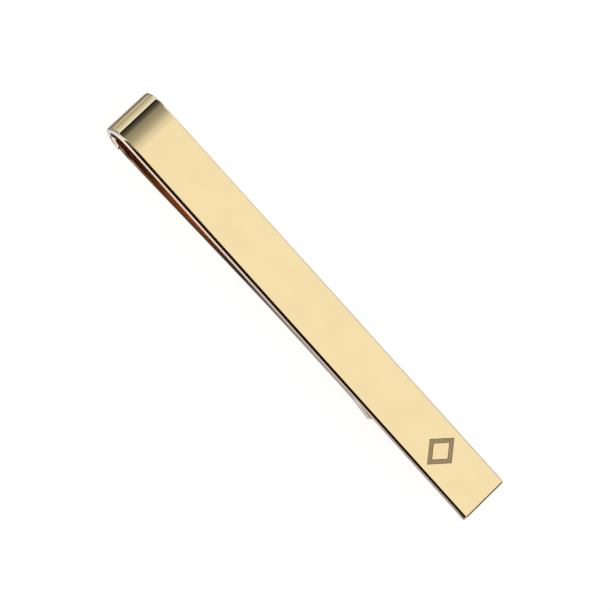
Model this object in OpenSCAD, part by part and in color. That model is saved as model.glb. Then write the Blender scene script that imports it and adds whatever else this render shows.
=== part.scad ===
// Tie clip: a flat bar curled over at its head, and a thin leaf-spring tongue
// soldered inside the curl that pinches the tie against the back of the bar.
// X runs from the curl to the free end, Y across the bar, Z up to the polished face.

/* [Front bar] */
// Length from the curl's outermost point to the free end
bar_length = 58; // [50:0.5:62]
// Width across the bar
bar_width = 6.4; // [5.4:0.1:8]
// Thickness of the strip the bar is made of
bar_thick = 0.9; // [0.88:0.01:0.92]
// Rounding of the long edges on the polished side
face_round = 0.17; // [0.08:0.01:0.25]
// Rounding of the long edges on the back
back_round = 0.06; // [0.03:0.01:0.12]
// Rounding of the edges round the free end
end_round = 0.1; // [0.05:0.01:0.2]

/* [Curl] */
// Radius of the crown, where the face starts to fall away
crown_radius = 4.82; // [4.4:0.02:5.2]
// Turn of the crown in degrees
crown_turn = 25; // [22:0.5:25.5]
// Radius of the flank, between crown and nose
flank_radius = 1.66; // [1.5:0.02:1.7]
// Turn of the flank in degrees
flank_turn = 35; // [32:1:36]
// Radius of the nose, the tightest part of the fold
nose_radius = 0.95; // [0.94:0.01:0.97]
// Turn of the nose in degrees
nose_turn = 60; // [54:1:61]
// Radius of the heel, under the nose
heel_radius = 1.25; // [1.2:0.01:1.27]
// Turn of the heel in degrees
heel_turn = 35; // [32:1:36]
// Radius of the thinned tail that carries the tongue
tail_radius = 5.4; // [5.2:0.1:5.8]
// Turn of the tail in degrees
tail_turn = 21; // [16:1:22]

/* [Spring tongue] */
// Width across the tongue
tongue_width = 6.2; // [5.2:0.1:6.4]
// Thickness of the leaf
tongue_thick = 0.45; // [0.35:0.01:0.5]
// Rounding of the tongue's long edges
tongue_round = 0.12; // [0.05:0.01:0.16]
// Distance from the curl's outermost point to the root's end
root_setback = 1.03; // [1.02:0.01:1.1]
// Downward slope of the root in degrees
root_slope = 38; // [36:0.5:38.5]
// Downward slope where the tongue leaves the curl, in degrees
mouth_slope = 11; // [9:0.5:12]
// Radius of the tongue inside the curl
root_radius = 3.1; // [3:0.05:3.2]
// Radius of the belly, the lowest part of the tongue
belly_radius = 8.5; // [7:0.5:10]
// Upward slope of the leaf in degrees
leaf_slope = 4; // [3.9:0.05:4.1]
// Straight run of the leaf
leaf_run = 14.9; // [14.6:0.1:15.2]
// Length over which the leaf eases towards the bar
ease_run = 10; // [9.5:0.5:11]
// Slope of the leaf where it pinches the cloth, in degrees
pinch_slope = 0.9; // [0.8:0.1:1.2]
// Length of the pinching stretch
pinch_run = 9.8; // [9:0.2:11]
// Space left between the tongue and the bar when nothing is clipped
pinch_gap = 0.05; // [0.03:0.01:0.3]
// Downward slope of the lip in degrees
lip_slope = 12; // [8:1:16]
// Radius of the bend into the lip
lip_radius = 6; // [4:0.5:9]
// Length of the lip past its bend
lip_run = 3.6; // [3:0.1:4.5]
// Radius of the lip's rounded end
lip_end_radius = 4.2; // [3.4:0.1:6]

/* [Solder] */
// Thickness of the solder under the tongue's root
solder_film = 0.04; // [0.03:0.01:0.06]

/* [Hidden] */
$fn = 180;
// Largest turn between two rings of a bend, fewest stretches in a bend,
// stretches in a rounded corner and in the lip's rounded end
facet_turn = 3;
least_parts = 4;
corner_parts = 3;
lip_parts = 10;
// Air on either side of the solder film, so that no two pieces share a face
hair = 0.01;

// The bends of the curl, each [radius, turn], met from the free end
crown = [crown_radius, crown_turn];
flank = [flank_radius, flank_turn];
nose = [nose_radius, nose_turn];
heel = [heel_radius, heel_turn];
tail = [tail_radius, tail_turn];
curl = [crown, flank, nose, heel];
// Turn of the outer face over which the full strip steps down to its thinned tail
shoulder = [tail_radius, 0.3];
// Largest roundings of the thinned tail's edges, as shares of its depth
tail_face_share = 0.6;
tail_back_share = 0.3;

// How far the crown starts behind the curl's outermost point
flank_end = crown_turn + flank_turn;
crown_start = crown_radius * sin(crown_turn)
    + flank_radius * (sin(flank_end) - sin(crown_turn))
    + nose_radius * (1 - sin(flank_end));
flat = [bar_length - crown_start, 0];
free_end = [bar_length, 0, 180];

// The tongue's runs and bends from its root to its lip
ease_turn = pinch_slope - leaf_slope;
ease_radius = ease_run / (-ease_turn * PI / 180);
root_arc = [root_radius, root_slope - mouth_slope];
belly_arc = [belly_radius, mouth_slope + leaf_slope];
leaf = [root_arc, belly_arc, [leaf_run, 0], [ease_radius, ease_turn], [pinch_run, 0]];
lip_bend = [lip_radius, -pinch_slope - lip_slope];

// Where one run or bend leads from the place p = [x, y, heading].
// A step is [length, 0] when straight and [radius, turn] when bent, left turns positive.
function after(p, step) =
    step[1] == 0
        ? [p[0] + step[0] * cos(p[2]), p[1] + step[0] * sin(p[2]), p[2]]
        : let (side = sign(step[1]), h = p[2] + step[1])
          [p[0] + side * step[0] * (sin(h) - sin(p[2])),
           p[1] - side * step[0] * (cos(h) - cos(p[2])),
           h];

// Where a whole chain of steps ends
function walk_end(chain, p, i = 0) =
    i == len(chain) ? p : walk_end(chain, after(p, chain[i]), i + 1);

// The tongue hangs from its pinching stretch, so its root's height is worked out
pinch_top = -bar_thick - pinch_gap;
leaf_rise = walk_end(leaf, [0, 0, -root_slope])[1];
root = [root_setback, pinch_top - tongue_thick / 2 * cos(pinch_slope) - leaf_rise, -root_slope];
mouth = after(root, root_arc);

// Depth below the face of the lowest points of the tongue and of the curl
tongue_low = mouth[1] - belly_radius * (1 - cos(mouth_slope)) - tongue_thick / 2;
heel_end = walk_end(concat([flat], curl), free_end);
tail_low = after(heel_end, tail)[1];
clip_height = -min(tongue_low, tail_low);

// Centre of the root's arc, and radius of the seat that the curl gives the solder
root_centre = [root[0] + root_radius * sin(root_slope), root[1] + root_radius * cos(root_slope)];
film_radius = root_radius + tongue_thick / 2 + hair;
seat_radius = film_radius + solder_film + hair;

// Places along a chain of steps, with every bend divided into short stretches
function bend_parts(step) = step[1] == 0 ? 1 : max(least_parts, ceil(abs(step[1]) / facet_turn));
function step_places(step, p) =
    let (n = bend_parts(step))
    [for (k = [1:n]) after(p, step[1] == 0 ? step : [step[0], step[1] * k / n])];
function chain_places(chain, p, i = 0) =
    i == len(chain)
        ? []
        : let (here = step_places(chain[i], p))
          concat(here, chain_places(chain, here[len(here) - 1], i + 1));

// A quarter circle of section points round [x, y], from the angle a onwards
function quarter(x, y, r, a) =
    [for (k = [0:corner_parts])
        let (turn = a + 90 * k / corner_parts)
        [x + r * cos(turn), y + r * sin(turn)]];

// A strip's cross-section: x is depth from the walked line, y is across the strip.
// The corners at near_x and at far_x have roundings of their own.
function section(near_x, far_x, width, near_round, far_round) =
    let (half = width / 2)
    concat(
        quarter(far_x - far_round, half - far_round, far_round, 0),
        quarter(near_x + near_round, half - near_round, near_round, 90),
        quarter(near_x + near_round, near_round - half, near_round, 180),
        quarter(far_x - far_round, far_round - half, far_round, 270)
    );

// A cross-section set square to the walked line at the place p
function ring(p, outline) =
    [for (s = outline) [p[0] - s[0] * sin(p[2]), p[1] + s[0] * cos(p[2]), s[1]]];

// The bar's cross-section, drawn in by inset on every side
function bar_section(inset = 0) =
    section(inset, bar_thick - inset, bar_width - 2 * inset, face_round, back_round);

// Metal left between the strip's outer face at the place p and the tongue's seat
function tail_depth(p) =
    let (to_centre = [root_centre[0] - p[0], root_centre[1] - p[1]],
         along = to_centre * [-sin(p[2]), cos(p[2])])
    along - sqrt(pow(along, 2) - to_centre * to_centre + pow(seat_radius, 2));

// The thinned tail's cross-section at the place p
function tail_section(p) =
    let (depth = tail_depth(p))
    section(0, depth, bar_width,
            min(face_round, tail_face_share * depth), min(back_round, tail_back_share * depth));

// The tongue's cross-section at a given width
function tongue_section(width = tongue_width) =
    section(-tongue_thick / 2, tongue_thick / 2, width, tongue_round, tongue_round);

// Rings of the whole strip: the rounded free end, the flat bar and the bends of the curl
strip_rings = concat(
    [for (k = [0:corner_parts])
        let (a = 90 * k / corner_parts, inset = end_round * (1 - sin(a)))
        ring(after(free_end, [end_round * (1 - cos(a)), 0]), bar_section(inset))],
    [for (p = chain_places(concat([flat], curl), free_end)) ring(p, bar_section())],
    [for (p = concat([after(heel_end, shoulder)], step_places(tail, heel_end)))
        ring(p, tail_section(p))]
);

// Rings of the tongue, narrowed along its last stretch to the lip's rounded end
lip_half_turn = asin(tongue_width / 2 / lip_end_radius);
lip_curve = lip_end_radius * (1 - cos(lip_half_turn));
lip_start = after(walk_end(concat(leaf, [lip_bend]), root), [lip_run - lip_curve, 0]);
tongue_rings = concat(
    [ring(root, tongue_section())],
    [for (p = chain_places(concat(leaf, [lip_bend]), root)) ring(p, tongue_section())],
    [for (k = [0:lip_parts - 1])
        let (a = lip_half_turn * (1 - k / lip_parts))
        ring(after(lip_start, [lip_curve - lip_end_radius * (1 - cos(a)), 0]),
             tongue_section(2 * lip_end_radius * sin(a)))]
);

// Turns the side view (x along, y up from the face) into the clip's own frame
module in_frame() {
    translate([-bar_length / 2, 0, clip_height]) rotate([90, 0, 0]) children();
}

// Closed skin over a row of rings that all have the same number of points
module skin(rings) {
    n = len(rings[0]);
    last = len(rings) - 1;
    polyhedron(
        points = [for (r = rings) each r],
        faces = concat(
            [[for (k = [0:n - 1]) k]],
            [for (i = [0:last - 1], k = [0:n - 1])
                [i * n + k, (i + 1) * n + k, (i + 1) * n + (k + 1) % n, i * n + (k + 1) % n]],
            [[for (k = [n - 1:-1:0]) last * n + k]]
        )
    );
}

// Flat bar and curled head, one strip of metal, with the tail thinned for the tongue
module front_bar() {
    color([0.93, 0.79, 0.49]) in_frame() skin(strip_rings);
}

// Leaf spring in one piece: root, belly, leaf, pinching stretch and flared lip
module spring_tongue() {
    color([0.86, 0.66, 0.36]) in_frame() skin(tongue_rings);
}

// Film of solder between the tongue's root and its seat in the curl
module solder_seam() {
    color([0.8, 0.72, 0.55]) in_frame()
        translate([root[0], root[1]]) rotate(-root_slope)
            translate([0, root_radius]) rotate(-90) rotate_extrude(angle = root_arc[1])
                translate([film_radius, -tongue_width / 2])
                    square([solder_film, tongue_width]);
}

front_bar();
spring_tongue();
solder_seam();
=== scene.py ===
"""Tie clip: the looks of the polished bar, its spring leaf and its solder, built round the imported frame.

Lengths in the sub-assemblies are millimetres in the side view of the clip: x runs along the clip from
the outermost point of the curl, and z up from the polished face. Blender's own units are metres.
"""

import logging
import math
from dataclasses import dataclass
from enum import Enum

import bmesh
import bpy
from mathutils import Matrix, Vector


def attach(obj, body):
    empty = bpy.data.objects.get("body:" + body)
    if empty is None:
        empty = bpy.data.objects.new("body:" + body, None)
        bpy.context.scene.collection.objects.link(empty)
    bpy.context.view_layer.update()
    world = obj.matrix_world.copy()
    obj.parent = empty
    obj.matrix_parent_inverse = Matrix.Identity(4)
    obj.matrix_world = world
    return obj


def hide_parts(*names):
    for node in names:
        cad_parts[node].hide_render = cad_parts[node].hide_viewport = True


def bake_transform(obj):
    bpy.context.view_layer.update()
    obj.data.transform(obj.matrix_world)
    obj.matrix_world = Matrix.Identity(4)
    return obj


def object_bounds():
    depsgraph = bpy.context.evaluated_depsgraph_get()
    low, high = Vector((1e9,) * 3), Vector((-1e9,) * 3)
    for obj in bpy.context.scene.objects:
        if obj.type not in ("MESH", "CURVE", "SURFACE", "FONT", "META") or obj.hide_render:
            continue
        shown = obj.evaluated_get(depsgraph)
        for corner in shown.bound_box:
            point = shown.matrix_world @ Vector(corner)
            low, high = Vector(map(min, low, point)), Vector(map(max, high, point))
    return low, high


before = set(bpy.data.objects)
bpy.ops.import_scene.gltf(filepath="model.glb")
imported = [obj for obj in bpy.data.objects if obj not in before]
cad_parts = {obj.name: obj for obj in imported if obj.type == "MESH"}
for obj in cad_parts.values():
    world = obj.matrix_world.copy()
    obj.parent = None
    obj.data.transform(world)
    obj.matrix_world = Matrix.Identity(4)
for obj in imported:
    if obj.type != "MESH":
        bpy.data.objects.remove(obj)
cad_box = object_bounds()

logging.basicConfig(level=logging.INFO, format="%(message)s")
log = logging.getLogger("tie_clip")

MM = 0.001
MIRROR_BOUNCES = 12
NOISE_MIDDLE = (0.35, 0.65)  # most of a noise lies between these levels
BAR_WIDTH = 6.4
BAR_THICK = 0.9
LEAF_WIDTH = 6.2

# Turns of a rolled edge's points, in degrees, and places of the two faces in a section's outline
SHOULDER_TURN = 10
TIP_TURN = 60
CORNER_TURNS = (0, 3, 6, SHOULDER_TURN, 20, 30, 40, 50, TIP_TURN, 70, 80, 90)
CORNER_PARTS = len(CORNER_TURNS) - 1
NEAR_FACE = 2 * CORNER_PARTS + 1
FAR_FACE = 4 * CORNER_PARTS + 3

Colour = tuple[float, float, float]
Tones = tuple[tuple[float, Colour], ...]  # colours at places, in order
Border = tuple[float, float]  # where a soft step starts and where it ends
Patch = tuple[float, float, float]  # where a stretch starts, where it ends, and how soft its ends are


class Body(Enum):
    """The bodies of the frame that pieces ride on."""

    BAR = "bar"
    TONGUE = "tongue"


class Slot(Enum):
    """The record's material slots."""

    BAR = "bar_gold"
    TONGUE = "tongue_gold"
    SOLDER = "solder"


class Side(Enum):
    """The clip's two long sides, by the sign of the frame's Y."""

    NEAR = -1
    FAR = 1


@dataclass(frozen=True)
class Place:
    """A point on a side-view line and the way the line runs there.

    Attributes:
        x: Distance along the clip, in mm.
        z: Height above the polished face, in mm.
        heading: Direction of the line, in radians.
    """

    x: float
    z: float
    heading: float

    def offset(self, depth: float) -> tuple[float, float]:
        """Returns the point at a depth to the left of the line, as (x, z)."""
        return self.x - depth * math.sin(self.heading), self.z + depth * math.cos(self.heading)


@dataclass(frozen=True)
class Run:
    """A straight stretch of a side-view line.

    Attributes:
        length: Its length, in mm.
    """

    length: float

    def reach(self, start: Place, share: float) -> Place:
        """Goes along the stretch.

        Args:
            start: Where the stretch begins.
            share: How much of it is gone, from 0 to 1.

        Returns:
            The place that is reached.
        """
        step = self.length * share
        x, z = start.x + step * math.cos(start.heading), start.z + step * math.sin(start.heading)
        return Place(x, z, start.heading)

    def parts(self, pitch: float) -> int:
        """Returns how many parts of about a given length, in mm, the stretch has."""
        return max(1, round(self.length / pitch))


@dataclass(frozen=True)
class Bend:
    """A round stretch of a side-view line.

    Attributes:
        radius: Its radius, in mm.
        turn: How far it turns, in degrees, to the left where that is positive.
    """

    radius: float
    turn: float

    @classmethod
    def of_length(cls, length: float, turn: float) -> "Bend":
        """Returns the bend with a given length of arc, in mm."""
        return cls(length / math.radians(abs(turn)), turn)

    def reach(self, start: Place, share: float) -> Place:
        """Goes along the stretch, or back along it where the share is negative.

        Args:
            start: Where the stretch begins.
            share: How much of it is gone, from 0 to 1.

        Returns:
            The place that is reached.
        """
        side = math.copysign(1.0, self.turn)
        heading = start.heading + math.radians(self.turn * share)
        return Place(
            start.x + side * self.radius * (math.sin(heading) - math.sin(start.heading)),
            start.z - side * self.radius * (math.cos(heading) - math.cos(start.heading)),
            heading,
        )

    def parts(self, pitch: float) -> int:
        """Returns how many parts the stretch has: one a degree, or more for a short pitch in mm."""
        arc = self.radius * math.radians(abs(self.turn))
        return max(2, math.ceil(abs(self.turn)), round(arc / pitch))


def walk(steps: tuple[Run | Bend, ...], start: Place, pitch: float = math.inf) -> list[Place]:
    """Follows steps from a start and lists the places on the way, without the start.

    Args:
        steps: The stretches, in order.
        start: Where the line begins.
        pitch: About how long a part is at most, in mm.

    Returns:
        The places at the end of every part.
    """
    places = []
    here = start
    for step in steps:
        count = step.parts(pitch)
        places += [step.reach(here, part / count) for part in range(1, count + 1)]
        here = places[-1]
    return places


@dataclass(frozen=True)
class Corner:
    """A rolled edge between a face and a side, with three radii in mm.

    Attributes:
        shoulder: Radius of the first 10 degrees, next to the face.
        middle: Radius from there to 60 degrees.
        tip: Radius of the last 30 degrees, next to the side.
    """

    shoulder: float
    middle: float
    tip: float

    @classmethod
    def even(cls, radius: float) -> "Corner":
        """Returns the corner with one radius."""
        return cls(radius, radius, radius)

    def scaled(self, share: float) -> "Corner":
        """Returns the corner with all its radii scaled."""
        return Corner(self.shoulder * share, self.middle * share, self.tip * share)

    def points(self) -> list[tuple[float, float]]:
        """Walks the rolled edge from the face to the side.

        Returns:
            Its points, as distances from the face and from the side.
        """
        drop, run = 0.0, 0.0
        spots = [(drop, run)]
        for start, end in zip(CORNER_TURNS, CORNER_TURNS[1:]):
            radius = self.tip
            if end <= TIP_TURN:
                radius = self.shoulder if end <= SHOULDER_TURN else self.middle
            drop += radius * (math.cos(math.radians(start)) - math.cos(math.radians(end)))
            run += radius * (math.sin(math.radians(end)) - math.sin(math.radians(start)))
            spots.append((drop, run))
        return [(drop, spots[-1][1] - run) for drop, run in spots]


@dataclass(frozen=True)
class Section:
    """Cross-section of a strip with four rolled edges, in mm.

    Attributes:
        near: Depth of the face on the walked side.
        far: Depth of the opposite face.
        width: Width across the strip.
        near_corner: The two edges of the near face.
        far_corner: The two edges of the far face.
    """

    near: float
    far: float
    width: float
    near_corner: Corner
    far_corner: Corner

    def outline(self) -> list[tuple[float, float]]:
        """Lists the points of the outline.

        Returns:
            The points, as depths and as distances across from the middle.
        """
        half = self.width / 2
        near, far = self.near_corner.points(), self.far_corner.points()
        points = [(self.far - drop, half - reach) for drop, reach in far]
        points += [(self.near + drop, half - reach) for drop, reach in reversed(near)]
        points += [(self.near + drop, reach - half) for drop, reach in near]
        points += [(self.far - drop, reach - half) for drop, reach in reversed(far)]
        return points

    @staticmethod
    def far_face() -> list[int]:
        """Returns the place of the outline on the far face."""
        return [FAR_FACE]

    @staticmethod
    def far_corners(parts: int = CORNER_PARTS) -> list[int]:
        """Returns the places of the outline on the roundings of the far face, or on their first parts."""
        return [*range(parts), *range(FAR_FACE - parts, FAR_FACE)]

    @staticmethod
    def sides() -> list[int]:
        """Returns the places of the outline on the two sides and all four roundings."""
        return [*range(NEAR_FACE), *range(NEAR_FACE + 1, FAR_FACE)]


@dataclass(frozen=True)
class SideView:
    """Places the side view in the frame, whose x starts at the middle of the clip.

    Attributes:
        length: Length of the clip, in mm.
        height: Height of the clip, in mm.
    """

    length: float
    height: float

    def point(self, x: float, z: float, across: float) -> Vector:
        """Returns the frame point of a side-view point, in metres."""
        return Vector(((x - self.length / 2) * MM, across * MM, (z + self.height) * MM))

    def ring(self, place: Place, section: Section) -> list[Vector]:
        """Returns a section's outline, set square to the line at a place."""
        return [self.point(*place.offset(depth), across) for depth, across in section.outline()]


class Skin:
    """A mesh made of rings that follow each other, closed at both ends.

    Attributes:
        face_weight: How much more a large face counts than a small one in the shading of the points
            that they share.
    """

    face_weight: int = 90

    def __init__(self, rings: list[list[Vector]]) -> None:
        """Skins the rings.

        Args:
            rings: Loops of points with the same number of points each.
        """
        self.mesh = bmesh.new()
        self.loops = [[self.mesh.verts.new(point) for point in ring] for ring in rings]
        count = len(rings[0])
        self.strips = [[] for _ in range(count)]
        for first, second in zip(self.loops, self.loops[1:]):
            for k, strip in enumerate(self.strips):
                after = (k + 1) % count
                strip.append(self.mesh.faces.new((first[k], second[k], second[after], first[after])))
        self.mesh.faces.new(self.loops[0])
        self.mesh.faces.new(list(reversed(self.loops[-1])))

    def paint(self, strips: list[int], slot: int, first_ring: int = 0) -> None:
        """Gives faces a material slot.

        Args:
            strips: Places of the outline that the faces are at.
            slot: The slot's number.
            first_ring: The ring from which on they get it.
        """
        for k in strips:
            for face in self.strips[k][first_ring:]:
                face.material_index = slot

    def finish(self, name: str, sharp_angle: float = 40.0) -> bpy.types.Object:
        """Turns the skin into a smooth object.

        Args:
            name: The object's name.
            sharp_angle: Angle in degrees over which an edge stays sharp.

        Returns:
            The new object, with its flat faces kept flat by weighted normals.
        """
        bmesh.ops.recalc_face_normals(self.mesh, faces=self.mesh.faces)
        data = bpy.data.meshes.new(name)
        self.mesh.to_mesh(data)
        self.mesh.free()
        data.polygons.foreach_set("use_smooth", [True] * len(data.polygons))
        data.set_sharp_from_angle(angle=math.radians(sharp_angle))
        piece = bpy.data.objects.new(name, data)
        bpy.context.scene.collection.objects.link(piece)
        weighted = piece.modifiers.new("even_faces", "WEIGHTED_NORMAL")
        weighted.keep_sharp = True
        weighted.weight = self.face_weight
        return piece


def grey(level: float) -> Colour:
    """Returns a grey."""
    return level, level, level


class Signal:
    """A socket of a node tree. Arithmetic on it adds Math nodes."""

    def __init__(self, graph: "Graph", socket: bpy.types.NodeSocket | None) -> None:
        """Wraps a socket of a graph."""
        self.graph = graph
        self.socket = socket

    def _math(self, operation: str, *values: "Signal | float") -> "Signal":
        """Returns the output of a new Math node."""
        return self.graph.node("ShaderNodeMath", {"operation": operation}, dict(enumerate(values)))

    def __add__(self, other: "Signal | float") -> "Signal":
        """Returns self + other."""
        return self._math("ADD", self, other)

    def __radd__(self, other: float) -> "Signal":
        """Returns other + self."""
        return self._math("ADD", other, self)

    def __sub__(self, other: "Signal | float") -> "Signal":
        """Returns self - other."""
        return self._math("SUBTRACT", self, other)

    def __rsub__(self, other: float) -> "Signal":
        """Returns other - self."""
        return self._math("SUBTRACT", other, self)

    def __mul__(self, other: "Signal | float") -> "Signal":
        """Returns self * other."""
        return self._math("MULTIPLY", self, other)

    def __rmul__(self, other: float) -> "Signal":
        """Returns other * self."""
        return self._math("MULTIPLY", other, self)

    def __abs__(self) -> "Signal":
        """Returns the absolute value."""
        return self._math("ABSOLUTE", self)

    def root(self) -> "Signal":
        """Returns the square root."""
        return self._math("SQRT", self)

    def at_most(self, other: "Signal | float") -> "Signal":
        """Returns the smaller of two values."""
        return self._math("MINIMUM", self, other)

    def at_least(self, other: "Signal | float") -> "Signal":
        """Returns the larger of two values."""
        return self._math("MAXIMUM", self, other)

    def rise(self, low: float, high: float) -> "Signal":
        """Returns a smooth step from 0 at low to 1 at high."""
        values = {"Value": self, "From Min": low, "From Max": high}
        return self.graph.node("ShaderNodeMapRange", {"interpolation_type": "SMOOTHSTEP"}, values)

    def within(self, low: float, high: float, soft: float) -> "Signal":
        """Returns 1 between two values and 0 outside them, with soft borders."""
        return self.rise(low - soft, low + soft) * (1 - self.rise(high - soft, high + soft))

    def part(self, name: str) -> "Signal":
        """Returns one component, X, Y or Z, of a vector."""
        return self.graph.node("ShaderNodeSeparateXYZ", {}, {0: self}, name)


class Graph:
    """A node tree that is built by expressions."""

    def __init__(self, owner: bpy.types.Material | bpy.types.World) -> None:
        """Empties the owner's node tree.

        Args:
            owner: The material or world that the nodes belong to.
        """
        owner.use_nodes = True
        self.tree = owner.node_tree
        self.tree.nodes.clear()

    def node(
        self, kind: str, settings: dict[str, object], values: dict[str | int, object], output: int | str = 0
    ) -> Signal:
        """Adds a node.

        Args:
            kind: The node's type.
            settings: Its properties, and "stops" for a ramp, as (position, colour) pairs.
            values: Numbers, colours or signals for its inputs, by name or index.
            output: The output that is returned.

        Returns:
            The chosen output, or a signal without a socket where the node has none.
        """
        made = self.tree.nodes.new(kind)
        for name, value in settings.items():
            if name == "stops":
                self._set_stops(made.color_ramp, value)
            else:
                setattr(made, name, value)
        for name, value in values.items():
            if isinstance(value, Signal):
                self.tree.links.new(value.socket, made.inputs[name])
            else:
                made.inputs[name].default_value = value
        return Signal(self, made.outputs[output]) if made.outputs else Signal(self, None)

    @staticmethod
    def _set_stops(ramp: bpy.types.ColorRamp, stops: list[tuple[float, Colour]]) -> None:
        """Gives a ramp its stops.

        Args:
            ramp: The ramp.
            stops: Its colours at positions from 0 to 1, in order.
        """
        while len(ramp.elements) > len(stops):
            ramp.elements.remove(ramp.elements[-1])
        while len(ramp.elements) < len(stops):
            ramp.elements.new(1.0)
        for element, (position, colour) in zip(ramp.elements, stops):
            element.position = position
            element.color = (*colour, 1.0)

    def mix(self, first: Signal | Colour, second: Signal | Colour, share: Signal | float) -> Signal:
        """Blends two colours.

        Args:
            first: The colour at a share of 0.
            second: The colour at a share of 1.
            share: How much of the second colour there is.

        Returns:
            The blend.
        """
        colours = [c if isinstance(c, Signal) else (*c, 1.0) for c in (first, second)]
        settings = {"data_type": "RGBA", "clamp_factor": True}
        return self.node("ShaderNodeMix", settings, {0: share, 6: colours[0], 7: colours[1]}, 2)

    def lengthwise(self, place: Signal, tones: Tones) -> Signal:
        """Returns a colour that changes along the clip.

        Args:
            place: Coordinates in mm.
            tones: Colours at frame X positions in mm, in order. One colour alone holds everywhere.

        Returns:
            The colour at the place.
        """
        first = tones[0][0]
        reach = max(tones[-1][0] - first, 1.0)
        stops = [((x - first) / reach, colour) for x, colour in tones]
        share = (place.part("X") - first) * (1 / reach)
        return self.node("ShaderNodeValToRGB", {"stops": stops}, {0: share})

    def millimetres(self) -> Signal:
        """Returns the object's own coordinates, in mm."""
        place = self.node("ShaderNodeTexCoord", {}, {}, "Object")
        return self.stretched(place, (1 / MM,) * 3)

    def stretched(self, vector: Signal, scale: tuple[float, float, float]) -> Signal:
        """Returns a vector multiplied component by component."""
        return self.node("ShaderNodeVectorMath", {"operation": "MULTIPLY"}, {0: vector, 1: scale})

    def turned(self, vector: Signal, degrees: float) -> Signal:
        """Returns a vector turned about Z."""
        values = {"Vector": vector, "Angle": math.radians(degrees)}
        return self.node("ShaderNodeVectorRotate", {"rotation_type": "Z_AXIS"}, values)

    def noise(self, vector: Signal, scale: float, detail: float = 2.0) -> Signal:
        """Returns noise from 0 to 1."""
        return self.node("ShaderNodeTexNoise", {}, {"Vector": vector, "Scale": scale, "Detail": detail})

    def bump(self, height: Signal, strength: float, distance: float, under: Signal | None = None) -> Signal:
        """Returns a normal that follows a height.

        Args:
            height: The height, from 0 to 1.
            strength: How much of the bump shows.
            distance: The real height of 1, in mm.
            under: A normal that the bump is added to.

        Returns:
            The bumped normal.
        """
        values = {"Height": height, "Strength": strength, "Distance": distance * MM}
        if under is not None:
            values["Normal"] = under
        return self.node("ShaderNodeBump", {}, values)

    def surface(self, values: dict[str | int, object]) -> None:
        """Ends a material in a Principled BSDF with the given inputs."""
        shader = self.node("ShaderNodeBsdfPrincipled", {}, values)
        self.node("ShaderNodeOutputMaterial", {}, {"Surface": shader})


def hairlines(graph: Graph, place: Signal, angle: float, pitch: float, share: float) -> Signal:
    """Returns thin scratches that run one way.

    Args:
        graph: The material's graph.
        place: Coordinates in mm.
        angle: The way they run, in degrees from X.
        pitch: Their spacing, in mm.
        share: How much of the surface they cover, from 0 to 1.

    Returns:
        1 in a scratch and 0 beside it.
    """
    length, soft = 30 * pitch, 0.04
    lengthwise = graph.stretched(graph.turned(place, angle), (1 / length, 1 / pitch, 1 / pitch))
    return graph.noise(lengthwise, 1.0, 3.0).rise(1 - share, 1 + soft - share)


@dataclass(frozen=True)
class Pattern:
    """A cloudy pattern with soft borders.

    Attributes:
        scale: How many spots it has in a millimetre across the clip.
        detail: How many finer layers lie over the spots.
        along: How often it changes along the clip, as a share of how often it changes across.
        clear: Noise level up to which it is 0.
        full: Noise level from which it is 1.
    """

    scale: float
    detail: float
    along: float
    clear: float
    full: float

    def over(self, graph: Graph, place: Signal) -> Signal:
        """Returns the pattern, from 0 to 1, at coordinates in mm."""
        noise = graph.noise(graph.stretched(place, (self.along, 1.0, 1.0)), self.scale, self.detail)
        return noise.rise(self.clear, self.full)


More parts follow.
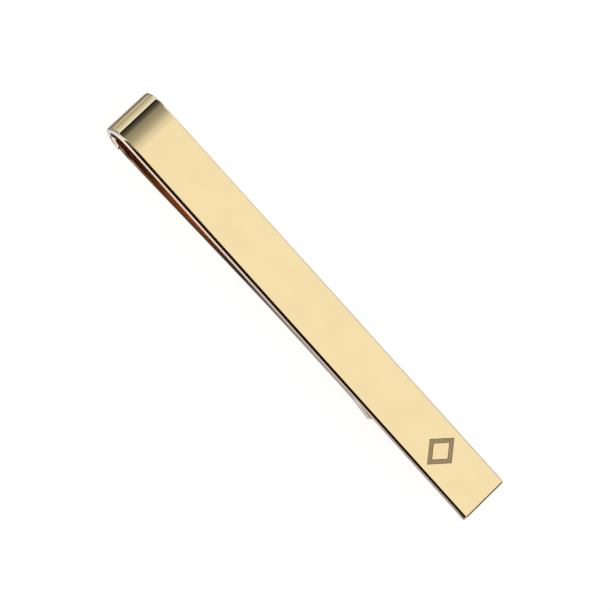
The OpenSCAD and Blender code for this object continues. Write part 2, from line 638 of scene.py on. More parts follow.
@dataclass(frozen=True)
class Plating:
    """Polished gold plate: a mirror with a faint grain, fine hairlines and paler, worn edges.

    Attributes:
        name: The material's name.
        colour: Reflected colour of the plate along the clip. In the inner plate, the sheared edge and the
            rim its changes along the clip are painted shade and highlights.
        worn: Reflected colour along the edges, where the plate is thin. In the inner plate, the sheared
            edge and the rim it is the same as the colour, painted shade and highlights included.
        half_width: Half of the piece's width, in mm.
        roughness: Lowest and highest roughness.
        grain: Depth of the polishing grain, in mm.
        edge: How far from the piece's sides the wear starts and is full, in mm.
        head: Border in frame X, in mm, before which the edges are worn all over.
        least_wear: How worn the edges are where they are worn least, from 0 to 1.
        dulled: How much darker the dull clouds are, from 0 to 1.
        roughened: How much of the roughness comes from smudges, from hairlines and from wear.
        swell_along: How often the grain swells along the clip, as a share of how often it does across.
        swell_scale: How many swells the grain has in a millimetre across the clip.
        hairline_depth: Depth of the hairlines, as a share of the grain's.
        cloud: Where the plate isn't dull.
        smudge: Where it has been touched.
        rubbed: Where its edges are worn most.
        scratches: Angle, spacing and share of each of its two sets of hairlines.
    """

    name: str
    colour: Tones
    worn: Tones
    half_width: float
    roughness: tuple[float, float]
    grain: float
    edge: Border = (0.27, 0.1)
    head: Border = (-26.5, -25.0)
    least_wear: float = 0.45
    dulled: float = 0.025
    roughened: tuple[float, float, float] = (0.35, 0.4, 0.25)
    swell_along: float = 0.35
    swell_scale: float = 0.5
    hairline_depth: float = 0.1
    cloud: Pattern = Pattern(0.35, 3.0, 1.0, 0.3, 0.6)
    smudge: Pattern = Pattern(1.4, 4.0, 0.5, 0.45, 0.75)
    rubbed: Pattern = Pattern(2.5, 4.0, 0.6, 0.3, 0.65)
    scratches: tuple[tuple[float, float, float], ...] = ((4.0, 0.05, 0.33), (-57.0, 0.07, 0.3))

    @classmethod
    def even(cls, name: str, tones: Tones, roughness: tuple[float, float], grain: float) -> "Plating":
        """Returns a plating of the leaf's width whose worn edges look like the rest."""
        return cls(name, tones, tones, LEAF_WIDTH / 2, roughness, grain)

    def wear(self, graph: Graph, place: Signal) -> Signal:
        """Returns how worn the plate is.

        Args:
            graph: The material's graph.
            place: Coordinates in mm.

        Returns:
            A value from 0, away from the edges, to 1.
        """
        start, full = self.edge
        edge = abs(place.part("Y")).rise(self.half_width - start, self.half_width - full)
        patchy = self.least_wear + (1 - self.least_wear) * self.rubbed.over(graph, place)
        return edge * patchy.at_least(1 - place.part("X").rise(*self.head))

    def material(self) -> bpy.types.Material:
        """Makes the material.

        Returns:
            The finished material.
        """
        made = bpy.data.materials.new(self.name)
        graph = Graph(made)
        place = graph.millimetres()
        wear = self.wear(graph, place)
        first, second = (hairlines(graph, place, *scratch) for scratch in self.scratches)
        scratched = (first + second).at_most(1.0)
        fresh = graph.lengthwise(place, self.colour)
        dull = graph.mix(fresh, grey(0.0), self.dulled)
        clouded = graph.mix(dull, fresh, self.cloud.over(graph, place))
        smudge_part, scratch_part, wear_part = self.roughened
        marks = smudge_part * self.smudge.over(graph, place) + scratch_part * scratched + wear_part * wear
        low, high = self.roughness
        swell = graph.noise(graph.stretched(place, (self.swell_along, 1.0, 1.0)), self.swell_scale, 1.0)
        rolling = graph.bump(swell, 1.0, self.grain)
        graph.surface(
            {
                "Base Color": graph.mix(clouded, graph.lengthwise(place, self.worn), wear),
                "Metallic": 1.0,
                "Roughness": low + (high - low) * marks,
                "Normal": graph.bump(1 - scratched, 0.5, self.hairline_depth * self.grain, rolling),
            }
        )
        return made


class Plate(Enum):
    """The gold-plated finishes of the clip, with their tones at frame X positions in mm. The inner plate,
    the sheared edge and the rim hold painted shade and highlights in their tones.
    """

    POLISHED = Plating(
        name="polished_plate",
        colour=((0.0, (0.925, 0.748, 0.424)),),
        # Edge colours along the clip: grey and darker at the curl's outermost point, pale over the head,
        # pinkish gold towards the free end.
        worn=(
            (-29.0, (0.6, 0.57, 0.53)),
            (-28.4, (0.74, 0.7, 0.64)),
            (-27.5, (0.95, 0.87, 0.72)),
            (-26.5, (0.95, 0.86, 0.72)),
            (-23.5, (0.83, 0.66, 0.58)),
            (10.0, (0.78, 0.66, 0.62)),
        ),
        half_width=BAR_WIDTH / 2,
        roughness=(0.02, 0.06),
        grain=0.0006,
    )
    LEAF = Plating(
        name="leaf_plate",
        colour=((0.0, (0.88, 0.68, 0.37)),),
        worn=((0.0, (0.6, 0.42, 0.3)),),
        half_width=LEAF_WIDTH / 2,
        roughness=(0.06, 0.14),
        grain=0.001,
    )
    INNER = Plating.even(
        name="inner_plate_painted_shade",
        # Painted shade: nearly black inside the curl by the head, lightening to the inner plate's own gold
        # towards the free end.
        tones=(
            (-28.2, (0.12, 0.08, 0.05)),
            (-27.6, (0.18, 0.11, 0.07)),
            (-26.8, (0.5, 0.38, 0.32)),
            (-24.5, (0.77, 0.62, 0.46)),
            (-19.0, (0.925, 0.79, 0.615)),
        ),
        roughness=(0.1, 0.25),
        grain=0.002,
    )
    SHEARED_PAINTED_LIGHT = Plating.even(
        name="sheared_edge_painted_light",
        # Painted light on the leaf's sheared sides: dark painted shade under the bar by the head, a painted
        # highlight near -24.3 mm, and pale painted reflection towards the lip.
        tones=(
            (-26.5, (0.05, 0.02, 0.01)),
            (-25.2, (0.10, 0.06, 0.04)),
            (-24.3, (0.45, 0.34, 0.25)),
            (-23.0, (0.18, 0.09, 0.05)),
            (-20.0, (0.1, 0.045, 0.02)),
            (-7.0, (0.07, 0.04, 0.03)),
            (3.0, (0.64, 0.61, 0.59)),
            (12.0, (0.6, 0.55, 0.5)),
        ),
        roughness=(0.2, 0.4),
        grain=0.004,
    )
    RIM_PAINTED_LIGHT = Plating.even(
        name="leaf_rim_painted_light",
        # Painted light on the leaf's roundings beside the bar: a painted highlight line by the head,
        # painted shade under the bar, and bright painted reflection towards the lip.
        tones=(
            (-26.8, (0.1, 0.05, 0.03)),
            (-26.0, (0.75, 0.52, 0.36)),
            (-24.3, (0.5, 0.32, 0.2)),
            (-23.0, (0.26, 0.1, 0.035)),
            (-20.0, (0.16, 0.055, 0.018)),
            (-7.0, (0.1, 0.06, 0.04)),
            (3.0, (0.8, 0.77, 0.74)),
            (12.0, (0.99, 0.94, 0.88)),
        ),
        roughness=(0.12, 0.3),
        grain=0.004,
    )


@dataclass(frozen=True)
class SolderMetal:
    """Plated solder: a soft sheen with small lumps.

    Attributes:
        name: The material's name.
        colour: Reflected colour of its hollows.
        paler: How much paler its lumps are, as a factor.
        roughness: Lowest and highest roughness.
        frost_scale: How often the roughness changes in a millimetre.
        lump: Height of the lumps, in mm.
        lump_scale: How many lumps it has in a millimetre.
        lump_strength: How much of the lumps shows, from 0 to 1.
    """

    name: str
    colour: Colour
    paler: float = 1.12
    roughness: tuple[float, float] = (0.28, 0.44)
    frost_scale: float = 9.0
    lump: float = 0.02
    lump_scale: float = 2.5
    lump_strength: float = 0.2

    def material(self) -> bpy.types.Material:
        """Makes the material.

        Returns:
            The finished material.
        """
        made = bpy.data.materials.new(self.name)
        graph = Graph(made)
        place = graph.millimetres()
        lumps = graph.noise(place, self.lump_scale, 1.0)
        pale = tuple(min(1.0, self.paler * c) for c in self.colour)
        low, high = self.roughness
        graph.surface(
            {
                "Base Color": graph.mix(self.colour, pale, lumps.rise(*NOISE_MIDDLE)),
                "Metallic": 1.0,
                "Roughness": low + (high - low) * graph.noise(place, self.frost_scale, 2.0),
                "Normal": graph.bump(lumps, self.lump_strength, self.lump),
            }
        )
        return made


@dataclass(frozen=True)
class Lozenge:
    """A plain engraved lozenge frame, cut into the face as a shallow groove. Lengths are in mm.

    Attributes:
        middle: Distance of its middle behind the curl's outermost point.
        half_length: Half of its size along the clip.
        half_width: Half of its size across the clip.
        inner: Size of its inner border, as a share of the outer one.
        depth: Depth of the groove.
        margin: How far the field that it is cut into reaches past it along the clip.
        slope: Width of the groove's walls, as a share of the lozenge's half size.
    """

    middle: float = 50.7
    half_length: float = 1.8
    half_width: float = 2.3
    inner: float = 0.62
    depth: float = 0.02
    margin: float = 0.5
    slope: float = 0.006

    def cut(self, skin: Skin, start: int, view: SideView, slot: int) -> None:
        """Cuts the groove into the bar's face.

        Args:
            skin: The bar's skin.
            start: The ring before the lozenge, counted from the free end.
            view: The side view's place.
            slot: Number of the groove's material slot.
        """
        mesh = skin.mesh
        top, slack = view.height * MM, 1e-4 * MM
        loops = (skin.loops[start], skin.loops[start + 1])
        corners = [v for loop in loops for v in loop if abs(v.co.z - top) < slack]
        plate = next(f for f in corners[0].link_faces if all(v in corners for v in f.verts))
        mesh.faces.remove(plate)
        centre = view.point(self.middle, 0.0, 0.0)
        borders = (
            (1.0, 0.0),
            (1.0 - self.slope, self.depth),
            (self.inner + self.slope, self.depth),
            (self.inner, 0.0),
        )
        rims = [self._rim(mesh, centre, scale, depth) for scale, depth in borders]
        for index, (sx, sy) in enumerate(((1, 1), (-1, 1), (-1, -1), (1, -1))):
            corner = next(v for v in corners if (v.co.x - centre.x) * sx > 0 and v.co.y * sy > 0)
            ahead = next(v for v in corners if (v.co.x - centre.x) * -sy > 0 and v.co.y * sx > 0)
            after = (index + 1) % 4
            mesh.faces.new((corner, rims[0][after], rims[0][index]))
            mesh.faces.new((corner, ahead, rims[0][after]))
            for outer, inner in zip(rims, rims[1:]):
                groove = mesh.faces.new((outer[index], outer[after], inner[after], inner[index]))
                groove.material_index = slot
        mesh.faces.new(rims[-1])

    def _rim(
        self, mesh: bmesh.types.BMesh, centre: Vector, scale: float, depth: float
    ) -> list[bmesh.types.BMVert]:
        """Adds the four corners of a lozenge.

        Args:
            mesh: The bar's mesh.
            centre: The lozenge's middle in the frame, in metres.
            scale: Its size, as a share of the outer border's.
            depth: How deep it lies below the face.

        Returns:
            The corners, anticlockwise from the one nearest to the free end.
        """
        long, wide = scale * self.half_length, scale * self.half_width
        spots = ((long, 0.0), (0.0, wide), (-long, 0.0), (0.0, -wide))
        return [mesh.verts.new(centre + Vector((x, y, -depth)) * MM) for x, y in spots]


@dataclass(frozen=True)
class Engraved:
    """Matt engraved gold: fine hatching at a slant with painted shade in its cut lines, and painted shade
    as darker lines along the borders of the groove.

    Attributes:
        name: The material's name.
        mark: The engraved form.
        offset: Where the form's middle is in the frame, in mm.
        colour: Colour between the cut lines.
        shade: Colour in the cut lines, painted shade.
        border: Colour along the groove's two borders, painted shade.
        border_width: Width of the border lines, as a share of the form's half size.
        pitch: Spacing of the hatching, in mm.
        slant: Angle of the hatching, in degrees.
        cut_line: How far from its middle a cut line starts to rise and where it ends, as shares of
            half the spacing.
        wobble: How far the cut lines stray, in mm.
        wobble_scale: How often they stray in a millimetre.
        frost_part: How much of the cut is frosting between the lines, from 0 to 1.
        frost_scale: How fine the frosting is, in grains to the millimetre.
        roughness: Lowest and highest roughness.
        depth: Depth of the cut lines, in mm.
        strength: How much of that depth shows, from 0 to 1.
    """

    name: str
    mark: Lozenge
    offset: float
    colour: Colour = (0.66, 0.52, 0.31)
    shade: Colour = (0.40, 0.31, 0.18)
    border: Colour = (0.24, 0.17, 0.09)
    border_width: float = 0.09
    pitch: float = 0.16
    slant: float = 38.0
    cut_line: Border = (0.2, 0.9)
    wobble: float = 0.05
    wobble_scale: float = 6.0
    frost_part: float = 0.3
    frost_scale: float = 20.0
    roughness: tuple[float, float] = (0.42, 0.62)
    depth: float = 0.012
    strength: float = 0.8

    def inside(self, place: Signal) -> Signal:
        """Returns where the groove's ground is, between its two border lines.

        Args:
            place: Coordinates in mm.

        Returns:
            1 on the ground and 0 on the borders.
        """
        length = abs(place.part("X") - self.offset) * (1 / self.mark.half_length)
        reach = length + abs(place.part("Y")) * (1 / self.mark.half_width)
        inner, width = self.mark.inner, self.border_width
        return reach.rise(inner, inner + width) * (1 - reach.rise(1 - width, 1.0))

    def material(self) -> bpy.types.Material:
        """Makes the material.

        Returns:
            The finished material.
        """
        made = bpy.data.materials.new(self.name)
        graph = Graph(made)
        place = graph.millimetres()
        stray = self.wobble * graph.noise(place, self.wobble_scale, 2.0)
        across = graph.turned(place, self.slant).part("Y") + stray
        waves = {0: across * (1 / self.pitch), 1: 0.5}
        from_line = graph.node("ShaderNodeMath", {"operation": "PINGPONG"}, waves) * 2.0
        line = 1 - from_line.rise(*self.cut_line)
        frost = graph.noise(place, self.frost_scale, 3.0)
        cut = line * (1 - self.frost_part) + self.frost_part * frost.rise(*NOISE_MIDDLE)
        # Painted shade in the cut lines.
        hatched = graph.mix(self.colour, self.shade, cut)
        low, high = self.roughness
        graph.surface(
            {
                # Painted shade along the groove's two borders.
                "Base Color": graph.mix(self.border, hatched, self.inside(place)),
                "Metallic": 1.0,
                "Roughness": low + (high - low) * frost,
                "Normal": graph.bump(1 - cut, self.strength, self.depth),
            }
        )
        return made


@dataclass
class SpringLeaf:
    """The thin leaf that pinches the tie, walked along its middle line from the root to the lip.

    Lengths are in mm and turns in degrees.

    Attributes:
        view: The side view's place.
        width: Width across the leaf.
        thick: Thickness of the leaf.
        edge_round: Rounding of its long edges.
        root_setback: Distance from the curl's outermost point to the root's end.
        root_slope: Downward slope of the root.
        root_bend: The bend inside the curl.
        blade: The stretches from the curl to the lip: the belly, the leaf, its ease and the pinch.
        pinch_gap: Space between the leaf and the bar when nothing is clipped.
        pinch: Where the leaf pinches the tie, behind the curl's outermost point.
        lip_bend: The bend into the lip.
        lip_run: Length of the lip past its bend.
        lip_end_radius: Radius of the lip's rounded end.
        pitch: Longest part of a straight stretch.
        lip_parts: How many parts the lip's rounded end has.
    """

    view: SideView
    width: float = LEAF_WIDTH
    thick: float = 0.45
    edge_round: float = 0.12
    root_setback: float = 1.03
    root_slope: float = 38.0
    root_bend: Bend = Bend(3.1, 27)
    blade: tuple[Run | Bend, ...] = (Bend(8.5, 15), Run(14.9), Bend.of_length(10, -3.1), Run(9.8))
    pinch_gap: float = 0.05
    pinch: float = 39.0
    lip_bend: Bend = Bend(6, -12.9)
    lip_run: float = 3.6
    lip_end_radius: float = 4.2
    pitch: float = 0.5
    lip_parts: int = 24

    @property
    def root(self) -> Place:
        """The root's end. The leaf hangs from its pinching stretch, so the end's height is worked out."""
        slope = math.radians(-self.root_slope)
        pinched = walk((self.root_bend, *self.blade), Place(0.0, 0.0, slope))[-1]
        pinch_height = -BAR_THICK - self.pinch_gap - self.thick / 2 * math.cos(pinched.heading)
        return Place(self.root_setback, pinch_height - pinched.z, slope)

    def section(self, width: float) -> Section:
        """Returns the leaf's cross-section at a given width."""
        corner = Corner.even(self.edge_round)
        return Section(-self.thick / 2, self.thick / 2, width, corner, corner)

    def rings(self) -> list[list[Vector]]:
        """Makes the rings of the leaf.

        Returns:
            The rings from the root to the lip's rounded end.
        """
        half_turn = math.asin(self.width / 2 / self.lip_end_radius)
        curve = self.lip_end_radius * (1 - math.cos(half_turn))
        steps = (self.root_bend, *self.blade, self.lip_bend, Run(self.lip_run - curve))
        places = [self.root, *walk(steps, self.root, self.pitch)]
        rings = [self.view.ring(place, self.section(self.width)) for place in places]
        for part in range(1, self.lip_parts):
            turn = half_turn * (1 - part / self.lip_parts)
            place = Run(curve - self.lip_end_radius * (1 - math.cos(turn))).reach(places[-1], 1.0)
            rings.append(self.view.ring(place, self.section(2 * self.lip_end_radius * math.sin(turn))))
        return rings

    def build(self, finishes: tuple[bpy.types.Material, ...]) -> bpy.types.Object:
        """Builds and dresses the leaf.

        Args:
            finishes: Finishes of its outer face, of the face that looks at the bar, of the two
            sheared sides, and of the roundings beside the bar. The last three hold painted shade and
            highlights along the leaf.

        Returns:
            The leaf, with its transform baked into its points.
        """
        inner, sheared, rim_painted_light = 1, 2, 3
        skin = Skin(self.rings())
        # The face towards the bar, the sheared sides and the roundings beside the bar get finishes with
        # painted shade and highlights.
        skin.paint(Section.far_face(), inner)
        skin.paint(Section.sides(), sheared)
        skin.paint(Section.far_corners(CORNER_TURNS.index(TIP_TURN)), rim_painted_light)
        piece = skin.finish("spring_leaf")
        for finish in finishes:
            piece.data.materials.append(finish)
        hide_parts("spring_tongue")
        pinch = self.view.point(self.pinch, 0.0, 0.0).x
        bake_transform(piece)
        return piece


@dataclass
class FrontBar:
    """The polished bar with its curled head and a plain engraved lozenge near its free end.

    The bar is walked from the free end along its face, and then left round the curl. Lengths are in mm
    and turns in degrees.

    Attributes:
        view: The side view's place, which has the length and the height of the clip.
        leaf: The leaf whose root lies on the tail.
        mark: The engraved form.
        width: Width of the strip.
        thick: Thickness of the strip.
        face_corner: Edges of the flat face.
        edge_taper: How much narrower the face's edges are at the free end than at the head, as a share.
        curl_corner: Edges of the outer face in the curl.
        curl_corner_turn: Turn over which the middle of these edges narrows.
        pillow_turn: Turn at which the outer face is a full pillow.
        pillow_rise: How late the pillow comes, as a power of the turn's share.
        back_round: Edges of the inner face.
        end_round: Rounding of the free end.
        curl: The curl, in bends.
        tail: The bend of the thinned tail.
        tail_parts: How many parts the tail has.
        tail_back_share: Largest rounding of the tail's inner edges, as a share of its depth.
        heel_share: Where the thinning starts, as a share of the tail.
        seat_gap: Room for the solder between the leaf and its seat.
        end_parts: How many parts the free end's rounding has.
        guard: Width of the strips that keep the flat face flat beside its roundings.
    """

    view: SideView
    leaf: SpringLeaf
    mark: Lozenge
    width: float = BAR_WIDTH
    thick: float = BAR_THICK
    face_corner: Corner = Corner(0.365, 0.365, 0.06)
    edge_taper: float = 0.24
    curl_corner: Corner = Corner(2.0, 0.15, 0.06)
    curl_corner_turn: float = 13.0
    pillow_turn: float = 22.0
    pillow_rise: int = 8
    back_round: float = 0.3
    end_round: float = 0.19
    curl: tuple[Bend, ...] = (Bend(30, 3), Bend(4.446, 22), Bend(1.66, 35), Bend(0.95, 60), Bend(1.25, 35))
    tail: Bend = Bend(5.4, 21)
    tail_parts: int = 21
    tail_back_share: float = 0.3
    heel_share: float = 0.0143
    seat_gap: float = 0.06
    end_parts: int = 6
    guard: float = 0.02

    @property
    def crown_start(self) -> float:
        """How far the face starts to fall away behind the curl's outermost point, in mm."""
        return -min(place.x for place in walk(self.curl, Place(0.0, 0.0, math.pi)))

    def section(self, x: float, inset: float = 0.0, turned: float = 0.0) -> Section:
        """Returns the strip's cross-section.

        Args:
            x: Where it is along the clip. The polished edges are narrower towards the free end.
            inset: How far it is drawn in on every side.
            turned: How far the strip has turned in the curl, in degrees. The bend pulls the edges of
                the face into a low pillow.

        Returns:
            The cross-section.
        """
        share, pillow = min(1.0, turned / self.curl_corner_turn), min(1.0, turned / self.pillow_turn)
        narrowed = 1 - self.edge_taper * x / self.view.length
        face, curled = self.face_corner, self.curl_corner
        flat = Corner(narrowed * face.shoulder, narrowed * face.middle, face.tip)
        near = Corner(
            flat.shoulder + pillow**self.pillow_rise * (curled.shoulder - flat.shoulder),
            flat.middle + share * (curled.middle - flat.middle),
            flat.tip,
        )
        back = Corner.even(self.back_round)
        return Section(inset, self.thick - inset, self.width - 2 * inset, near, back)

    def tail_section(self, place: Place) -> Section:
        """Returns the cross-section of the thinned tail, which ends on the leaf's seat.

        Args:
            place: Where it is on the outer face.

        Returns:
            The cross-section.
        """
        seat_x, seat_z = self.leaf.root.offset(self.leaf.root_bend.radius)
        seat_radius = self.leaf.root_bend.radius + self.leaf.thick / 2 + self.seat_gap
        to_x, to_z = seat_x - place.x, seat_z - place.z
        along = to_z * math.cos(place.heading) - to_x * math.sin(place.heading)
        depth = along - math.sqrt(along**2 - to_x**2 - to_z**2 + seat_radius**2)
        near = self.curl_corner.scaled(min(1.0, depth / self.thick))
        back = Corner.even(min(self.back_round, self.tail_back_share * depth))
        return Section(0.0, depth, self.width, near, back)

    def end_rings(self) -> list[list[Vector]]:
        """Makes the rings of the free end's rounding.

        Returns:
            The rings, from the end itself on.
        """
        end = Place(self.view.length, 0.0, math.pi)
        rings = []
        for part in range(self.end_parts + 1):
            turn = math.radians(90 * part / self.end_parts)
            place = Run(self.end_round * (1 - math.cos(turn))).reach(end, 1.0)
            rings.append(self.view.ring(place, self.section(end.x, self.end_round * (1 - math.sin(turn)))))
        return rings

    def rings(self) -> tuple[list[list[Vector]], int]:
        """Makes the rings of the whole strip.

        Returns:
            The rings from the free end to the tail, and which of them starts the engraving's field.
        """
        rings = self.end_rings()
        field_start = len(rings) + 1
        middle, half = self.mark.middle, self.mark.half_length + self.mark.margin
        crown = Place(self.crown_start, 0.0, math.pi)
        after_end, before_crown = self.view.length - self.end_round - self.guard, crown.x + self.guard
        flat = (Place(x, 0.0, math.pi) for x in (after_end, middle + half, middle - half, before_crown))
        places = [*flat, crown, *walk(self.curl, crown)]
        for place in places:
            turned = math.degrees(place.heading - math.pi)
            rings.append(self.view.ring(place, self.section(place.x, 0.0, turned)))
        shares = (self.heel_share, *(part / self.tail_parts for part in range(1, self.tail_parts + 1)))
        tail = [self.tail.reach(places[-1], share) for share in shares]
        rings += [self.view.ring(place, self.tail_section(place)) for place in tail]
        return rings, field_start

    def build(self, finishes: tuple[bpy.types.Material, ...]) -> bpy.types.Object:
        """Builds and dresses the bar.

        Args:
            finishes: Finishes of the bar, of its engraving, of its back, and of the tail.

        Returns:
            The bar, riding on its body.
        """
        groove, back, tail = 1, 2, 3
        rings, field_start = self.rings()
        skin = Skin(rings)
        skin.paint(Section.sides(), tail, len(rings) - self.tail_parts - 1)
        # The back gets the inner plate, with its painted shade inside the curl.
        skin.paint(Section.far_face() + Section.far_corners(), back)
        self.mark.cut(skin, field_start, self.view, groove)
        piece = skin.finish("polished_bar")
        for finish in finishes:
            piece.data.materials.append(finish)
        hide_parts("front_bar")
        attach(piece, Body.BAR.value)
        return piece


@dataclass
class SolderBead:
    """The solder that shows along one side of the leaf's root, lumpy and a little uneven.

    Lengths are in mm and turns in degrees.

    Attributes:
        leaf: The leaf whose middle line the bead follows.
        side: The side of the clip that it is on.
        lead: How far before the root's end it starts, as a turn of the root's bend.
        turn: How far it goes on from there, as a turn of the same bend.
        reach: How far it stands from the clip's middle.
        thick: Its depth across the clip.
        height: Half of its height.
        flat: Cosine of the turn at which its flat outer side ends.
        sag: How much further it hangs below the line at its end.
        lean: How far its lower half runs ahead of its upper half at its end.
        least: Size of its ends, as a share.
        plump: Its mean size, as a share.
        swell: Size and number of its long waves, as a share and in radians.
        ripple: Size and number of its short waves, as a share and in radians.
        dip: How far the outer side would dip in where the bead had no size.
        pitch: Distance between its loops.
        around: How many points each loop has.
    """

    leaf: SpringLeaf
    side: Side
    lead: float = 2.0
    turn: float = 30.0
    reach: float = 3.17
    thick: float = 0.24
    height: float = 0.29
    flat: float = 0.55
    sag: float = 0.75
    lean: float = 0.7
    least: float = 0.12
    plump: float = 0.88
    swell: tuple[float, float] = (0.08, 9.0)
    ripple: tuple[float, float] = (0.03, 23.0)
    dip: float = 0.02
    pitch: float = 0.05
    around: int = 20

    def ring(self, place: Place, share: float) -> list[Vector]:
        """Makes one loop round the bead.

        Args:
            place: Where the loop stands on the leaf's middle line.
            share: How far along the bead it is, from 0 to 1.

        Returns:
            The loop's points.
        """
        sign, (swell, waves), (ripple, ripples) = self.side.value, self.swell, self.ripple
        size = max(self.least, math.sqrt(max(0.0, 1 - (2 * share - 1) ** 4)))
        lump = self.plump + swell * math.sin(waves * share + sign) + ripple * math.sin(ripples * share)
        points = []
        for part in range(self.around):
            turn = 2 * math.pi * part / self.around
            out = min(0.0, self.thick * size * (math.cos(turn) - self.flat))
            uneven = swell * math.sin(3 * turn + waves * share)
            depth = self.height * size * lump * (math.sin(turn) + uneven)
            if depth < 0:
                depth *= 1 + self.sag * share
            across = sign * (self.reach + out * lump - self.dip * (1 - lump))
            x, z = place.offset(depth)
            points.append(self.leaf.view.point(x - self.lean * share * depth, z, across))
        return points

    def build(self, metal: bpy.types.Material) -> bpy.types.Object:
        """Builds and dresses the bead.

        Args:
            metal: Its finish.

        Returns:
            The bead, riding on the bar's body.
        """
        radius = self.leaf.root_bend.radius
        start = Bend(radius, self.lead).reach(self.leaf.root, -1.0)
        line = walk((Bend(radius, self.turn),), start, self.pitch)
        rings = [self.ring(place, index / (len(line) - 1)) for index, place in enumerate(line)]
        piece = Skin(rings).finish(f"solder_bead_{self.side.name.lower()}", sharp_angle=80.0)
        piece.data.materials.append(metal)
        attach(piece, Body.BAR.value)
        return piece


@dataclass(frozen=True)
class LightTent:
    """The studio's light as a function of the direction that it comes from.

    A direction is a unit vector, with X towards the clip's free end, Y towards its far side and Z up.

    Attributes:
        wall: Patch in Y of the wall that the flat face and the curl mirror to the photograph's camera.
        wall_tones: Tones of the wall, at values of X.
        far: Border in Y of the tent's far side.
        far_tone: Tone of the far side.
        foot: Border in Z above the tent's foot.
        foot_tone: Tone of the foot.
        shade: Patch in X of a shade on the far side, past the head.
        low_shade: Patch in X where the shade goes on, near the floor alone.
        low_shade_top: Border in Z above that part of the shade.
        shade_tone: Tone of the shade.
        before_wall: Border in Y behind the slot and its half shade.
        slot: Patch in X of the dark slot for the camera.
        slot_tone: Tone of the slot.
        half_shade: Patch in X of the half shade round the slot.
        low_card: Border in X and patch in Y of a card low behind the head.
        high_card: Border in X and patch in Y of a card high behind the head.
        card_parts: How dark the low and the high card are, as shares of the card's tone.
        card_tone: Tone of the cards and of the half shade.
        zenith: Border round the straight way up, where there is neither slot nor card.
    """

    wall: Patch = (0.29, 0.55, 0.03)
    wall_tones: Tones = (
        (-1.0, grey(0.3)),
        (-0.93, grey(0.32)),
        (-0.908, grey(0.72)),
        (-0.895, grey(0.5)),
        (-0.885, grey(0.44)),
        (-0.86, grey(0.42)),
        (-0.81, grey(0.55)),
        (-0.75, grey(0.7)),
        (-0.70, (0.72, 0.76, 0.86)),
        (-0.634, (0.72, 0.76, 0.86)),
        (-0.624, (0.9, 1.0, 1.2)),
        (-0.586, (0.9, 1.0, 1.2)),
        (-0.573, grey(0.01)),
        (-0.53, grey(0.015)),
        (-0.47, grey(0.055)),
        (-0.36, grey(0.11)),
        (-0.24, grey(0.29)),
        (-0.16, grey(0.315)),
        (-0.06, grey(0.345)),
        (-0.04, grey(0.4)),
        (0.01, grey(0.8)),
        (0.043, grey(1.0)),
        (0.2, grey(1.0)),
        (0.25, grey(0.1)),
        (1.0, grey(0.2)),
    )
    far: Border = (0.52, 0.58)
    far_tone: Colour = (0.89, 0.92, 0.81)
    foot: Border = (0.05, 0.2)
    foot_tone: Colour = grey(0.45)
    shade: Patch = (-0.42, -0.03, 0.07)
    low_shade: Patch = (-0.9, -0.4, 0.07)
    low_shade_top: Border = (0.28, 0.38)
    shade_tone: Colour = grey(0.3)
    before_wall: Border = (0.29, 0.33)
    slot: Patch = (0.022, 0.2, 0.008)
    slot_tone: Colour = (0.012, 0.004, 0.0)
    half_shade: Patch = (-0.05, 0.2, 0.015)
    low_card: tuple[Border, Patch] = ((-0.3, -0.2), (-0.8, -0.5, 0.08))
    high_card: tuple[Border, Patch] = ((-0.52, -0.46), (0.0, 0.22, 0.02))
    card_parts: tuple[float, float] = (0.5, 0.9)
    card_tone: Colour = (0.085, 0.055, 0.028)
    zenith: Border = (0.06, 0.08)

    def cloth(self, graph: Graph, x: Signal, y: Signal, z: Signal) -> Signal:
        """Returns the light of the tent's cloth and its wall.

        Args:
            graph: The world's graph.
            x: The direction's component along the clip.
            y: Its component across the clip.
            z: Its upward component.

        Returns:
            The light's colour.
        """
        far = y.rise(*self.far)
        tent = graph.mix(self.foot_tone, graph.mix(grey(1.0), self.far_tone, far), z.rise(*self.foot))
        low_shade = (1 - z.rise(*self.low_shade_top)) * x.within(*self.low_shade)
        shade = far * x.within(*self.shade).at_least(low_shade)
        stops = [(0.5 + level / 2, tone) for level, tone in self.wall_tones]
        wall = graph.node("ShaderNodeValToRGB", {"stops": stops}, {0: x * 0.5 + 0.5})
        return graph.mix(graph.mix(tent, self.shade_tone, shade), wall, y.within(*self.wall))

    def radiance(self, graph: Graph) -> Signal:
        """Returns the light from each direction.

        Args:
            graph: The world's graph.

        Returns:
            The colour of the cloth, and of the cards and the slot before it.
        """
        ray = graph.node("ShaderNodeTexCoord", {}, {}, "Generated")
        x, y, z = (ray.part(name) for name in "XYZ")
        before_wall = 1 - y.rise(*self.before_wall)
        sides = (self.low_card, self.high_card)
        low, high = ((1 - x.rise(*border)) * y.within(*patch) for border, patch in sides)
        cards = (low * self.card_parts[0]).at_least(high * self.card_parts[1])
        half_shade = x.within(*self.half_shade) * before_wall
        zenith = (x * x + y * y).root().rise(*self.zenith)
        carded = graph.mix(self.cloth(graph, x, y, z), self.card_tone, zenith * half_shade.at_least(cards))
        return graph.mix(carded, self.slot_tone, zenith * (x.within(*self.slot) * before_wall))

    def build(self) -> None:
        """Makes the world."""
        world = bpy.data.worlds.new("light_tent")
        bpy.context.scene.world = world
        graph = Graph(world)
        shine = graph.node("ShaderNodeBackground", {}, {"Color": self.radiance(graph), "Strength": 1.0})
        graph.node("ShaderNodeOutputWorld", {}, {"Surface": shine})


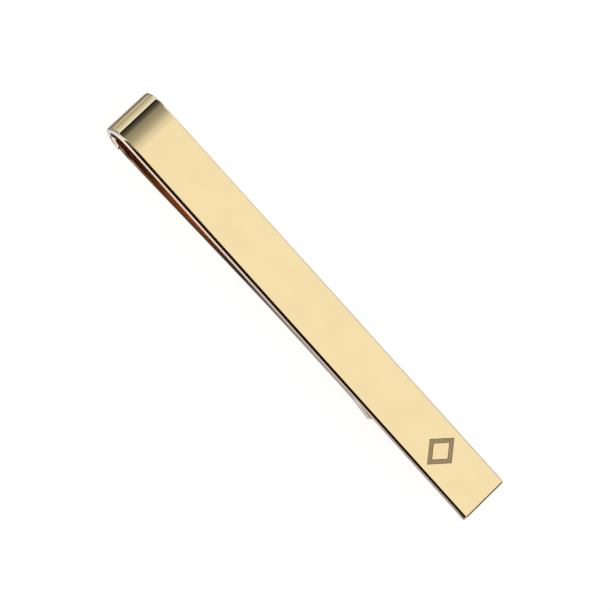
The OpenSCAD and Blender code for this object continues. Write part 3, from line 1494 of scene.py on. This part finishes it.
@dataclass(frozen=True)
class Floor:
    """The floor: white to the camera, with the clip's shadow, and bright in places to the clip's mirrors.

    Attributes:
        height: Where it lies in the frame's Z, in mm.
        radius: Its radius, in metres.
        segments: How many sides it has.
        paint: Level of its matt paint.
        glow: Level of its own light, where it shows white.
        gloom: Level that mirrors see of it where it is darkest, as a share of the glow.
        strip: Level that they see beside the clip, added to the gloom.
        strip_start: Border in X, in mm, where the strip beside the clip begins.
        strip_end: Border in X, in mm, where it ends.
        dimmings: Shares by which the strip dims towards the free end, each with its border in X.
        outer: Level that mirrors see far out before the head, added to the gloom.
        outer_end: Border in X, in mm, where that part ends.
    """

    height: float = -3.2
    radius: float = 3.0
    segments: int = 96
    paint: float = 0.3
    glow: float = 0.83
    gloom: float = 0.06
    strip: float = 0.84
    strip_start: Border = (-35.0, -28.5)
    strip_end: Border = (28.0, 29.5)
    dimmings: tuple[tuple[float, Border], ...] = ((0.42, (-14.0, 2.0)), (0.47, (13.0, 20.0)))
    outer: float = 0.5
    outer_end: Border = (-106.0, -51.0)

    def mirrored(self, graph: Graph) -> Signal:
        """Returns how bright mirrors see the floor.

        Args:
            graph: The material's graph.

        Returns:
            A share of the floor's glow.
        """
        x = graph.millimetres().part("X")
        strip = self.strip * x.rise(*self.strip_start) * (1 - x.rise(*self.strip_end))
        for share, border in self.dimmings:
            strip = strip * (1 - share * x.rise(*border))
        return self.gloom + strip + self.outer * (1 - x.rise(*self.outer_end))

    def material(self) -> bpy.types.Material:
        """Makes the floor's material.

        Returns:
            The finished material, which is clear from below.
        """
        made = bpy.data.materials.new("floor_white")
        graph = Graph(made)
        kinds = ("Is Camera Ray", "Is Glossy Ray", "Is Transmission Ray")
        camera, glossy, through = (graph.node("ShaderNodeLightPath", {}, {}, kind) for kind in kinds)
        seen = camera.at_least(glossy).at_least(through) * (1 - glossy * (1 - self.mirrored(graph)))
        matt = graph.node("ShaderNodeBsdfDiffuse", {}, {"Color": (*grey(self.paint), 1.0)})
        light = {"Color": (*grey(1.0), 1.0), "Strength": seen * self.glow}
        glow = graph.node("ShaderNodeEmission", {}, light)
        both = graph.node("ShaderNodeAddShader", {}, {0: matt, 1: glow})
        back = graph.node("ShaderNodeNewGeometry", {}, {}, "Backfacing")
        clear = graph.node("ShaderNodeBsdfTransparent", {}, {})
        shown = graph.node("ShaderNodeMixShader", {}, {0: back, 1: both, 2: clear})
        graph.node("ShaderNodeOutputMaterial", {}, {"Surface": shown})
        return made

    def build(self) -> None:
        """Makes the floor."""
        mesh = bmesh.new()
        bmesh.ops.create_circle(mesh, cap_ends=True, segments=self.segments, radius=self.radius)
        data = bpy.data.meshes.new("floor")
        mesh.to_mesh(data)
        mesh.free()
        floor = bpy.data.objects.new("floor", data)
        floor.location.z = self.height * MM
        bpy.context.scene.collection.objects.link(floor)
        data.materials.append(self.material())


@dataclass(frozen=True)
class Camera:
    """The photograph's view of the clip.

    Attributes:
        azimuth: How far the camera stands round from square to the clip, in degrees.
        elevation: How steeply it looks down on the face, in degrees.
        roll: How far the picture is turned, in degrees.
        distance: Distance from the middle of the face, in metres.
        sensor: Width of the sensor, in mm.
        image_px: Width of the picture, in pixels.
        px_per_mm: Pixels to the millimetre, at the middle of the face.
        face_middle_px: Where the middle of the face is in the picture, in pixels.
    """

    azimuth: float = -9.93
    elevation: float = 66.04
    roll: float = 48.0
    distance: float = 0.8
    sensor: float = 36.0
    image_px: float = 612.0
    px_per_mm: float = 9.145
    face_middle_px: tuple[float, float] = (308.48, 304.31)

    def build(self, height: float) -> None:
        """Makes the camera.

        Args:
            height: The clip's height, in mm.
        """
        azimuth, elevation, roll = (math.radians(v) for v in (self.azimuth, self.elevation, self.roll))
        level = math.cos(elevation)
        back = Vector((math.sin(azimuth) * level, -math.cos(azimuth) * level, math.sin(elevation)))
        across = Vector((0.0, -back.z, back.y)).normalized()
        along = back.cross(across).normalized()
        right = math.cos(roll) * along - math.sin(roll) * across
        up = -math.sin(roll) * along - math.cos(roll) * across
        middle = self.image_px / 2
        shift_x, shift_y = ((middle - px) / self.px_per_mm * MM for px in self.face_middle_px)
        target = Vector((0.0, 0.0, height * MM)) + right * shift_x - up * shift_y
        data = bpy.data.cameras.new("camera")
        data.sensor_width = self.sensor
        data.lens = self.sensor * self.distance / (self.image_px / self.px_per_mm * MM)
        camera = bpy.data.objects.new("camera", data)
        bpy.context.scene.collection.objects.link(camera)
        turn = Matrix((right, up, back)).transposed().to_4x4()
        camera.matrix_world = Matrix.Translation(target + back * self.distance) @ turn
        bpy.context.scene.camera = camera


def report(piece: bpy.types.Object) -> None:
    """Logs a piece and how many faces it has."""
    log.info("%s: %d faces", piece.name, len(piece.data.polygons))


def main() -> None:
    """Builds the studio and the clip's pieces, and reports each piece."""
    scene = bpy.context.scene
    scene.view_settings.view_transform = "Standard"
    scene.cycles.glossy_bounces = MIRROR_BOUNCES
    low, high = cad_box
    view = SideView((high.x - low.x) / MM, (high.z - low.z) / MM)
    Camera().build(view.height)
    LightTent().build()
    Floor().build()
    # The inner plate, the sheared edge and the rim carry painted shade and highlights along the clip.
    polished, leaf_plate, inner, sheared, rim_painted_light = (plate.value.material() for plate in Plate)
    solder = SolderMetal("solder_metal", (0.9, 0.82, 0.7)).material()
    tinned = SolderMetal("tinned_tail", (0.96, 0.93, 0.89)).material()
    mark, leaf = Lozenge(), SpringLeaf(view)
    # The engraving's cut lines and borders are painted shade.
    engraved = Engraved("engraved_plate_painted_shade", mark, mark.middle - view.length / 2).material()
    report(FrontBar(view, leaf, mark).build((polished, engraved, inner, tinned)))
    report(leaf.build((leaf_plate, inner, sheared, rim_painted_light)))
    for side in Side:
        report(SolderBead(leaf, side).build(solder))
    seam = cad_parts["solder_seam"]
    seam.data.materials.clear()
    seam.data.materials.append(solder)
    log.info("%s: CAD node with its own finish", seam.name)


if __name__ == "__main__":
    main()
